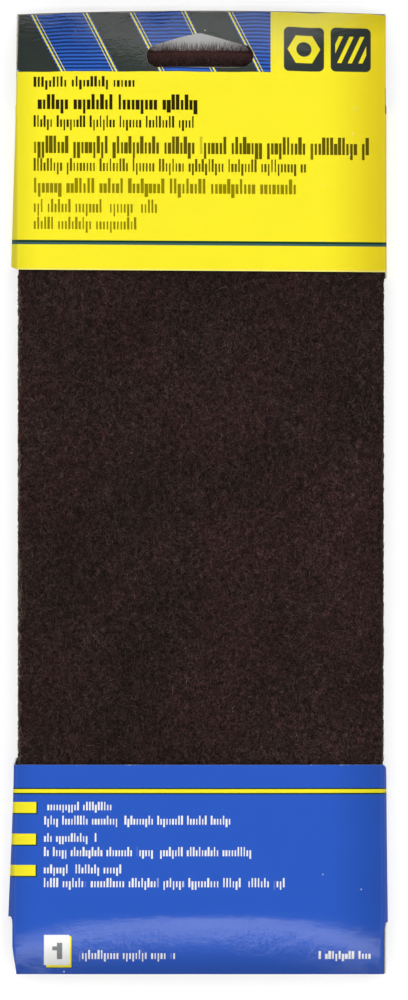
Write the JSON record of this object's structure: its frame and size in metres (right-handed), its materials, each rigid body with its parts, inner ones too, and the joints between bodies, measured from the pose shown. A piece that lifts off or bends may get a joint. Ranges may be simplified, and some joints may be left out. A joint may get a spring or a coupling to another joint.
{
  "type": "abrasive hand pad",
  "caption": "Flat non-woven abrasive pad for hand sanding and cleaning of metal, in a folded card sleeve with an open window and a hang slot.",
  "frame": {"origin": "middle of the bounding box at its lowest level, where the sleeve's back lies on the table", "axes": "+X across the pad, +Y along it towards the hang slot, +Z out of the printed front"},
  "size_m": [0.1152, 0.2926, 0.0098],
  "materials": {
    "web": "open fibre web, dark brown, matt",
    "board": "printed and varnished, yellow header and blue footer, grey inside"
  },
  "bodies": {
    "root": {"hand_pad": "web", "card_sleeve": "board"}
  },
  "joints": []
}
